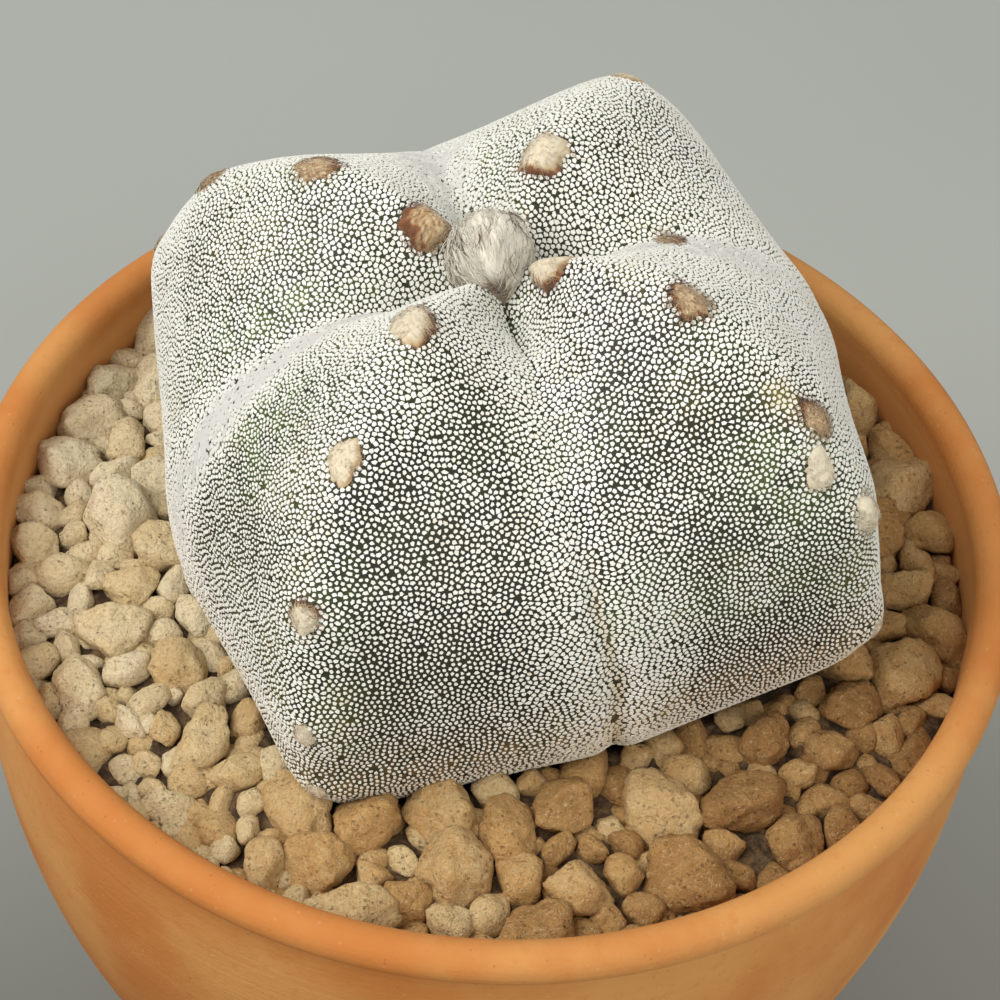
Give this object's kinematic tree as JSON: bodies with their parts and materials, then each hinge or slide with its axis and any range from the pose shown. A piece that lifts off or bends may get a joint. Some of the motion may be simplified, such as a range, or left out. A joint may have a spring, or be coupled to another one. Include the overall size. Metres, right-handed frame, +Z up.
{
  "type": "potted bishops cap cactus",
  "caption": "Bishops cap cactus with broad flecked ribs and woolly areoles, standing in a round terracotta bowl pot topped with pale stones.",
  "frame": {"origin": "middle of the pot's base, on the surface it stands on", "axes": "+Z up along the pot's axis, -Y towards the front, where the camera stood, +X to its right"},
  "size_m": [0.11, 0.11, 0.1215],
  "materials": {
    "terracotta": "matte unglazed",
    "potting_mix": "gritty, matte",
    "pale_stone": "pitted, matte",
    "cactus_skin": "olive green skin covered in white flecks",
    "plant_wool": "short felted wool"
  },
  "bodies": {
    "root": {"pot": "terracotta", "potting_mix": "potting_mix", "top_dressing": "pale_stone", "cactus_body": "cactus_skin", "crown_wool": "plant_wool"}
  },
  "joints": []
}
